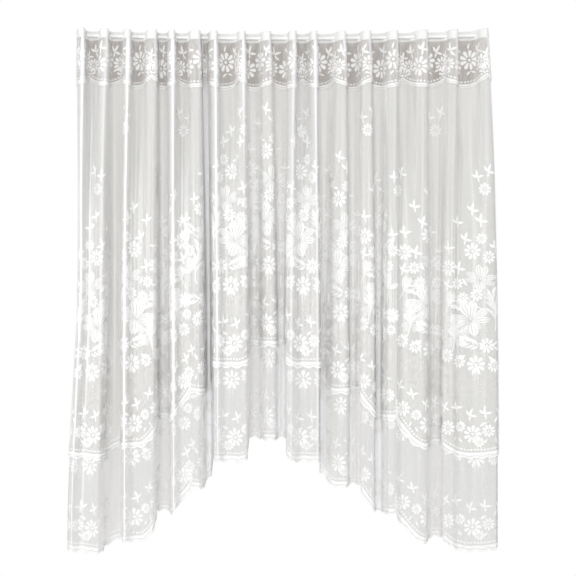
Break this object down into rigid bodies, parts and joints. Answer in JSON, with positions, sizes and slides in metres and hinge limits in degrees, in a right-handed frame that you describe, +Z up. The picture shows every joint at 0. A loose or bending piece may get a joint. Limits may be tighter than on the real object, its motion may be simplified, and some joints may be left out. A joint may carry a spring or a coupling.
{
  "type": "lace valance on a tension rod",
  "caption": "White floral lace valance with a slotted heading, a short scalloped flounce and two arched tiers, hung in folds on a thin white tension rod.",
  "frame": {"origin": "middle of the rod's left end face, where it presses on the window recess", "axes": "+X along the rod to its right end, +Z up, -Y to the front, towards the room"},
  "size_m": [1.5868, 0.114, 1.9094],
  "materials": {
    "white_paint": "satin white",
    "white_tape": "dense white knitted tape",
    "white_lace": "open white knitted lace"
  },
  "bodies": {
    "root": {"rod": "white_paint", "heading_band": "white_tape", "valance_flounce": "white_lace", "front_tier": "white_lace", "rear_tier": "white_lace"}
  },
  "joints": []
}
